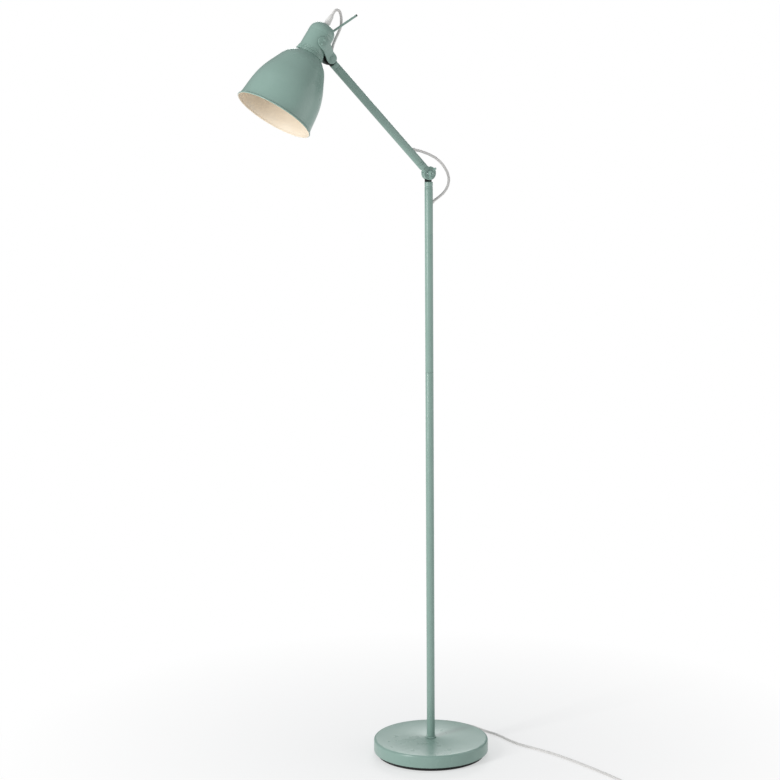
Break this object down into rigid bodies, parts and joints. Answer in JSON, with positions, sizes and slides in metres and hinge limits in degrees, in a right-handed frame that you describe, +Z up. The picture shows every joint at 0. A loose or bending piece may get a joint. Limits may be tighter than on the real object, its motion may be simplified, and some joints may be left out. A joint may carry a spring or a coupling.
{
  "type": "adjustable arm floor lamp",
  "caption": "Floor lamp with a round weighted foot, straight pole, tilting arm held by a wing nut, and a bell shade that tilts on the arm's end.",
  "frame": {"origin": "on the floor, at the centre of the round foot's underside", "axes": "+Z up along the pole, -X the way the arm carries the head, -Y the side of the elbow's wing nut"},
  "size_m": [0.6451, 0.6541, 1.4771],
  "materials": {
    "green_paint": "satin grey-green powder coat on steel",
    "black_rubber": "matt moulded rubber",
    "cast_iron": "raw casting",
    "zinc_steel": "bright zinc plate",
    "white_plastic": "moulded white plastic",
    "black_plastic": "moulded black plastic",
    "brass": "plain drawn brass",
    "white_cord": "smooth white PVC sheath",
    "nylon": "natural nylon"
  },
  "bodies": {
    "stand": {"base_cover": "green_paint", "base_pad": "black_rubber", "base_weight": "cast_iron", "base_stud": "zinc_steel", "base_stud_nut": "zinc_steel", "base_cord_bush": "white_plastic", "pole_foot": "green_paint", "lower_pole": "green_paint", "pole_coupler": "zinc_steel", "upper_pole": "green_paint", "pole_cord_sleeve": "white_plastic", "pole_knuckle": "green_paint", "elbow_bolt": "zinc_steel", "elbow_friction_disc": "nylon", "elbow_washer": "zinc_steel", "cord_in_pole": "white_cord", "cord_elbow_loop": "white_cord", "cord_floor_run": "white_cord", "cord_coil_run": "white_cord", "cord_coil": "white_cord", "cord_plug_run": "white_cord", "cord_tie": "black_plastic", "foot_switch_lower": "white_plastic", "foot_switch_upper": "white_plastic", "foot_switch_mechanism": "black_plastic", "foot_switch_relief_lamp": "white_plastic", "foot_switch_relief_plug": "white_plastic", "plug_body": "white_plastic", "plug_pin_left": "zinc_steel", "plug_pin_right": "zinc_steel"},
    "arm": {"arm_lower_knuckle": "green_paint", "arm_tube": "green_paint", "arm_upper_knuckle": "green_paint", "arm_elbow_sleeve": "white_plastic", "arm_head_sleeve": "white_plastic", "cord_in_arm": "white_cord", "cord_head_loop": "white_cord"},
    "head": {"shade": "green_paint", "shade_collar_ring": "green_paint", "lampholder_cap": "green_paint", "lampholder_body": "white_plastic", "lampholder_ring": "white_plastic", "lampholder_screw_shell": "brass", "lampholder_contact": "brass", "handle_rod": "green_paint", "cap_strain_relief": "white_plastic", "yoke_cheek_near": "green_paint", "yoke_cheek_far": "green_paint", "yoke_rivet_near_1": "green_paint", "yoke_rivet_near_2": "green_paint", "yoke_rivet_far_1": "green_paint", "yoke_rivet_far_2": "green_paint", "head_pivot_bolt": "green_paint", "head_pivot_nut": "zinc_steel", "cord_in_cap": "white_cord"},
    "wing_nut": {"elbow_wing_nut": "green_paint"},
    "switch_button": {"foot_switch_button": "white_plastic"}
  },
  "joints": [
    {"name": "elbow_tilt", "type": "hinge", "parent": "stand", "child": "arm", "pos_m": [0, 0, 1.1668], "axis": [0, 1, 0], "range_deg": [-45, 40], "deforming": ["cord_elbow_loop"]},
    {"name": "head_tilt", "type": "hinge", "parent": "arm", "child": "head", "pos_m": [-0.21665, 0, 1.38573], "axis": [0, 1, 0], "range_deg": [-45, 60], "deforming": ["cord_head_loop"]},
    {"name": "wing_nut_turn", "type": "hinge", "parent": "stand", "child": "wing_nut", "pos_m": [0, 0, 1.1668], "axis": [0, 1, 0], "continuous": true},
    {"name": "switch_press", "type": "slide", "parent": "stand", "child": "switch_button", "axis": [0, 0, -1], "range_m": [0, 0.003], "stiffness_N_per_m": 1500, "springref_m": -0.0015}
  ]
}
